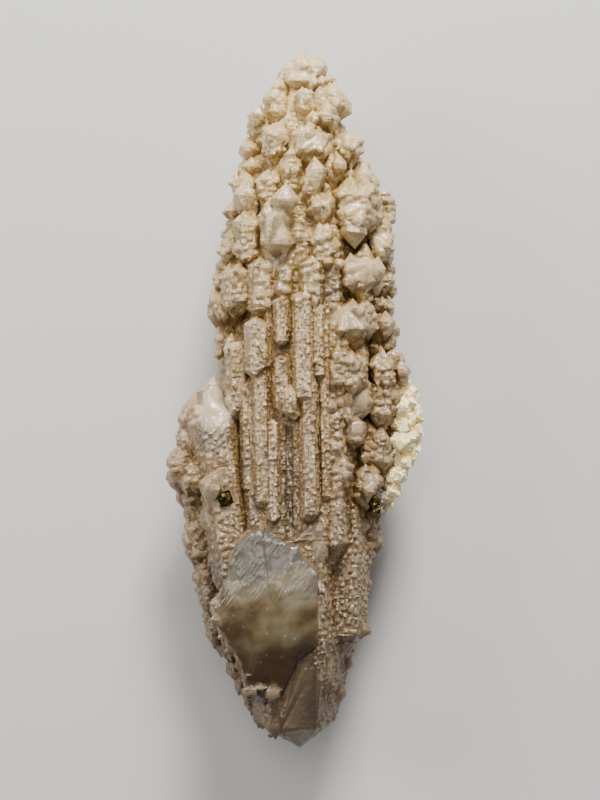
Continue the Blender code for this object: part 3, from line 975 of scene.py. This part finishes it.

# %% [markdown]
# The tips are painted whiter, as a painted highlight, since they stand in the light from all sides.
# The large faces of the list are whiter too, partly as real milky frost and partly as painted
# highlight. The window has none; it has bubbles instead. Hollow spheres that small would cost more
# triangles than the crystal, so they are drawn as dots in the middle of the cells of a Voronoi pattern.

# %% Painted highlight on the tips, and milky faces
milk_and_highlight_colour = add_node(
    frosted,
    "ShaderNodeValToRGB",
    _0=along,
    stops=((0.05, "#8e7a60"), (0.35, "#b5a58c"), (0.5, "#d2bea2"), (1.0, "#e8d8b4")),
)
# Painted highlight: open tips are mixed towards the pale colour, up to half way, and not in the window
most_tip_highlight = add_node(frosted, "ShaderNodeMapRange", value=window, to_min=0.5, to_max=0.0)
tip_highlight = add_node(
    frosted,
    "ShaderNodeMapRange",
    value=open_value,
    from_min=0.45,
    from_max=0.95,
    to_max=most_tip_highlight.outputs[0],
)
# Listed pale faces, partly real milky frost and partly painted highlight
milky_and_lit_value = add_node(frosted, "ShaderNodeAttribute", attribute_name="milky_and_lit").outputs["Fac"]
milky_and_lit_edge = add_node(
    frosted, "ShaderNodeMath", operation="MULTIPLY_ADD", _0=speckle, _1=0.5, _2=milky_and_lit_value
)
milky_and_lit_patch = add_node(
    frosted, "ShaderNodeMapRange", value=milky_and_lit_edge.outputs[0], from_min=0.45, from_max=1.1, to_max=0.75
)
milky_and_lit_amount = add_node(
    frosted, "ShaderNodeMath", operation="MAXIMUM", _0=tip_highlight.outputs[0], _1=milky_and_lit_patch.outputs[0]
)
milky_and_lit = add_node(
    frosted,
    "ShaderNodeMix",
    data_type="RGBA",
    _0=milky_and_lit_amount.outputs[0],
    _6=stain_and_shade.outputs[2],
    _7=milk_and_highlight_colour.outputs[0],
)
print("milky chain:", len(frosted.node_tree.nodes), "nodes so far")

# %% Bubbles in the window
# Real ones are far too fine to show in a picture, so these are drawn a few tenths of a millimetre wide
bubbles = add_node(frosted, "ShaderNodeTexVoronoi", vector=place, scale=per_metre(1.4286))
bubble = add_node(
    frosted,
    "ShaderNodeMapRange",
    value=bubbles.outputs["Distance"],
    from_min=0.15,
    from_max=0.05,
    to_max=0.45,
)
bubble_here = add_node(frosted, "ShaderNodeMath", operation="MULTIPLY", _0=bubble.outputs[0], _1=window)
quartz_colour = add_node(
    frosted,
    "ShaderNodeMix",
    data_type="RGBA",
    _0=bubble_here.outputs[0],
    _6=milky_and_lit.outputs[2],
    _7=colour("#efe6d6"),
)
print("colour chain:", len(frosted.node_tree.nodes), "nodes")

# %% [markdown]
# The faces carry finer crystals than the mesh can. A bump map of noise looks like plaster, because its
# slopes are round. Facets are flat: so the surface is parted into cells of two sizes, and each cell
# leans its own way, which makes them sparkle as sugar does. The cells are wider than they are high,
# because prism faces of quartz are stepped across their length.

# %% Tilted facets
CELLS = ((0.95, 0.6, 0.42), (0.38, 0.26, 0.42))  # width and height in mm, and how far they lean
smooth = add_node(frosted, "ShaderNodeAttribute", attribute_name="smooth").outputs["Fac"]
rough_share = add_node(frosted, "ShaderNodeMath", operation="SUBTRACT", _0=1.0, _1=smooth).outputs[0]
wander = add_node(frosted, "ShaderNodeTexNoise", vector=place, scale=per_metre(0.91), detail=1.0)
wandering = add_node(
    frosted,
    "ShaderNodeVectorMath",
    operation="MULTIPLY_ADD",
    _0=wander.outputs["Color"],
    _1=(0.5 * MM, 0.5 * MM, 0.5 * MM),
    _2=place,
)
normal = add_node(frosted, "ShaderNodeNewGeometry").outputs["Normal"]
for cell_width, cell_height, lean in CELLS:
    wide, high = per_metre(cell_width), per_metre(cell_height)
    stretched = add_node(
        frosted,
        "ShaderNodeVectorMath",
        operation="MULTIPLY",
        _0=wandering.outputs[0],
        _1=(wide, high, wide),
    )
    cells = add_node(frosted, "ShaderNodeTexVoronoi", vector=stretched.outputs[0], scale=1.0)
    centred = add_node(
        frosted,
        "ShaderNodeVectorMath",
        operation="SUBTRACT",
        _0=cells.outputs["Color"],
        _1=(0.5, 0.5, 0.5),
    )
    amount = add_node(frosted, "ShaderNodeMath", operation="MULTIPLY", _0=rough_share, _1=lean)
    scaled = add_node(
        frosted,
        "ShaderNodeVectorMath",
        operation="SCALE",
        _0=centred.outputs[0],
        scale=amount.outputs[0],
    )
    tilted = add_node(
        frosted, "ShaderNodeVectorMath", operation="ADD", _0=normal, _1=scaled.outputs[0]
    )
    even = add_node(frosted, "ShaderNodeVectorMath", operation="NORMALIZE", _0=tilted.outputs[0])
    normal = even.outputs[0]
print("facet chain:", len(frosted.node_tree.nodes), "nodes so far")

# %% [markdown]
# Two more marks of growth are drawn as relief: fine steps across the faces, and slanting cracks in the
# upper window and on the lower end. Each is a noise that is squeezed along one direction.

# %% Steps and cracks
steps_space = add_node(
    frosted,
    "ShaderNodeVectorMath",
    operation="MULTIPLY",
    _0=place,
    _1=(per_metre(1.667), per_metre(0.4545), per_metre(1.667)),
)
steps = add_node(frosted, "ShaderNodeTexNoise", vector=steps_space.outputs[0], scale=1.0, detail=3.0)
step_height = add_node(
    frosted, "ShaderNodeMath", operation="MULTIPLY", _0=steps.outputs[0], _1=rough_share
)
slanting = add_node(
    frosted,
    "ShaderNodeMapping",
    vector_type="TEXTURE",
    vector=place,
    rotation=(0.0, 0.0, math.radians(-36)),
    scale=(0.32 * MM, 2.6 * MM, 0.8 * MM),
)
cracks = add_node(frosted, "ShaderNodeTexNoise", vector=slanting.outputs[0], scale=1.0, detail=4.0)
upper_window = add_node(
    frosted, "ShaderNodeMapRange", value=xyz.outputs[1], from_min=-31 * MM, from_max=-26 * MM, to_max=1.0
)
patches = add_node(frosted, "ShaderNodeTexNoise", vector=place, scale=per_metre(3.03), detail=2.0)
patchy = add_node(
    frosted, "ShaderNodeMapRange", value=patches.outputs[0], from_min=0.42, from_max=0.62, to_max=2.6
)
cracked = add_node(
    frosted,
    "ShaderNodeMath",
    operation="MULTIPLY",
    _0=upper_window.outputs[0],
    _1=patchy.outputs[0],
)
window_cracks = add_node(
    frosted, "ShaderNodeMath", operation="MULTIPLY", _0=cracked.outputs[0], _1=window
)
lower_end = add_node(
    frosted, "ShaderNodeMapRange", value=xyz.outputs[1], from_min=-37 * MM, from_max=-40 * MM
)
lower_cracks = add_node(
    frosted, "ShaderNodeMath", operation="MULTIPLY", _0=lower_end.outputs[0], _1=smooth
)
crack_share = add_node(
    frosted,
    "ShaderNodeMath",
    operation="MAXIMUM",
    _0=window_cracks.outputs[0],
    _1=lower_cracks.outputs[0],
)
relief_height = add_node(
    frosted,
    "ShaderNodeMath",
    operation="MULTIPLY_ADD",
    _0=cracks.outputs[0],
    _1=crack_share.outputs[0],
    _2=step_height.outputs[0],
)
relief = add_node(
    frosted,
    "ShaderNodeBump",
    height=relief_height.outputs[0],
    strength=0.6,
    distance=0.25 * MM,
    normal=normal,
)
print("relief chain:", len(frosted.node_tree.nodes), "nodes so far")

# %% Quartz surface and body
# Etched faces have soft highlights and the smooth ones tighter ones. 1.544 is the IOR of quartz. Light
# spreads a few tenths of a millimetre in the cloudy coat, and smoky quartz swallows blue before red.
roughness = add_node(frosted, "ShaderNodeMapRange", value=rough_share, to_min=0.22, to_max=0.32)
lower_share = add_node(
    frosted,
    "ShaderNodeMapRange",
    value=shifted,
    from_min=0.27,
    from_max=0.16,
    to_min=0.25,
    to_max=0.75,
)
clear_window = add_node(
    frosted, "ShaderNodeMath", operation="MULTIPLY", _0=window, _1=lower_share.outputs[0]
)
clear_share = add_node(
    frosted, "ShaderNodeMath", operation="MAXIMUM", _0=clear_window.outputs[0], _1=0.12
)
crystal_shader = add_node(
    frosted,
    "ShaderNodeBsdfPrincipled",
    base_color=quartz_colour.outputs[2],
    roughness=roughness.outputs[0],
    ior=1.544,
    subsurface_weight=0.5,
    subsurface_radius=(0.85, 0.75, 0.55),
    subsurface_scale=0.6 * MM,
    transmission_weight=clear_share.outputs[0],
    normal=relief.outputs[0],
)
smoke = add_node(frosted, "ShaderNodeVolumeAbsorption", color=colour("#c69a5e"), density=110.0)
add_node(
    frosted,
    "ShaderNodeOutputMaterial",
    surface=crystal_shader.outputs[0],
    volume=smoke.outputs[0],
)
quartz.data.materials.append(frosted)
print("frosted quartz:", len(frosted.node_tree.nodes), "nodes")

# %% [markdown]
# ## Chalky feldspar
#
# Weathered feldspar is matt and chalky: no highlight, a soft glow at thin edges, cream on its high spots
# and a darker ochre in its pits, partly its own colour and partly painted shade. A mottle keeps the cream
# from being even, and a powdery bump, drawn coarser than real dust so that it shows, takes the last shine
# away.

# %% Feldspar material
chalky = new_material("chalky feldspar")
place = add_node(chalky, "ShaderNodeTexCoord").outputs["Object"]
crust_value = add_node(chalky, "ShaderNodeAttribute", attribute_name="open")
mottle = add_node(chalky, "ShaderNodeTexNoise", vector=place, scale=per_metre(1.43), detail=5.0)
uneven = add_node(
    chalky,
    "ShaderNodeMath",
    operation="MULTIPLY_ADD",
    _0=mottle.outputs[0],
    _1=0.5,
    _2=crust_value.outputs["Fac"],
)
# Darker ochre where the crust is less open: partly its own colour, partly painted shade
crust_colour_and_pit_shade = add_node(
    chalky,
    "ShaderNodeValToRGB",
    _0=uneven.outputs[0],
    stops=((0.1, "#b98a34"), (0.3, "#eac270"), (0.55, "#fde09a"), (0.9, "#fff0bc")),
)
powder = add_node(chalky, "ShaderNodeTexNoise", vector=place, scale=per_metre(0.222), detail=4.0)
powder_bump = add_node(
    chalky, "ShaderNodeBump", height=powder.outputs[0], strength=0.5, distance=0.08 * MM
)
chalk = add_node(
    chalky,
    "ShaderNodeBsdfPrincipled",
    base_color=crust_colour_and_pit_shade.outputs[0],
    roughness=0.8,
    ior=1.53,
    subsurface_weight=0.25,
    subsurface_radius=(1.0, 0.8, 0.55),
    subsurface_scale=0.5 * MM,
    normal=powder_bump.outputs[0],
)
add_node(chalky, "ShaderNodeOutputMaterial", surface=chalk.outputs[0])
crust.data.materials.append(chalky)
print("chalky feldspar:", len(chalky.node_tree.nodes), "nodes")

# %% [markdown]
# ## Tarnished pyrite
#
# Pyrite is a pale brassy metal with fine parallel lines on its faces. Old grains are dulled by a brown
# film. The film is one noise that darkens the colour and roughens the shine in the same places, so it
# reads as a film and not as paint.

# %% Pyrite material
WAVE_SCALE = 20  # the wave texture has that many radians to a unit of its scale
brassy = new_material("tarnished pyrite")
place = add_node(brassy, "ShaderNodeTexCoord").outputs["Object"]
film = add_node(brassy, "ShaderNodeTexNoise", vector=place, scale=per_metre(0.556), detail=4.0)
film_colour = add_node(
    brassy,
    "ShaderNodeValToRGB",
    _0=film.outputs[0],
    stops=((0.4, "#2c2410"), (0.52, "#5c4e26"), (0.68, "#a8965a")),
)
film_rough = add_node(
    brassy,
    "ShaderNodeMapRange",
    value=film.outputs[0],
    from_min=0.4,
    from_max=0.65,
    to_min=0.5,
    to_max=0.18,
)
lines = add_node(
    brassy,
    "ShaderNodeTexWave",
    vector=place,
    scale=per_metre(0.349) * math.tau / WAVE_SCALE,
    distortion=2.0,
    detail=2.0,
)
line_bump = add_node(
    brassy, "ShaderNodeBump", height=lines.outputs[0], strength=0.3, distance=0.03 * MM
)
metal = add_node(
    brassy,
    "ShaderNodeBsdfPrincipled",
    base_color=film_colour.outputs[0],
    metallic=1.0,
    roughness=film_rough.outputs[0],
    normal=line_bump.outputs[0],
)
add_node(brassy, "ShaderNodeOutputMaterial", surface=metal.outputs[0])
for piece in pyrite_pieces:
    piece.data.materials.append(brassy)
print("tarnished pyrite:", len(brassy.node_tree.nodes), "nodes")
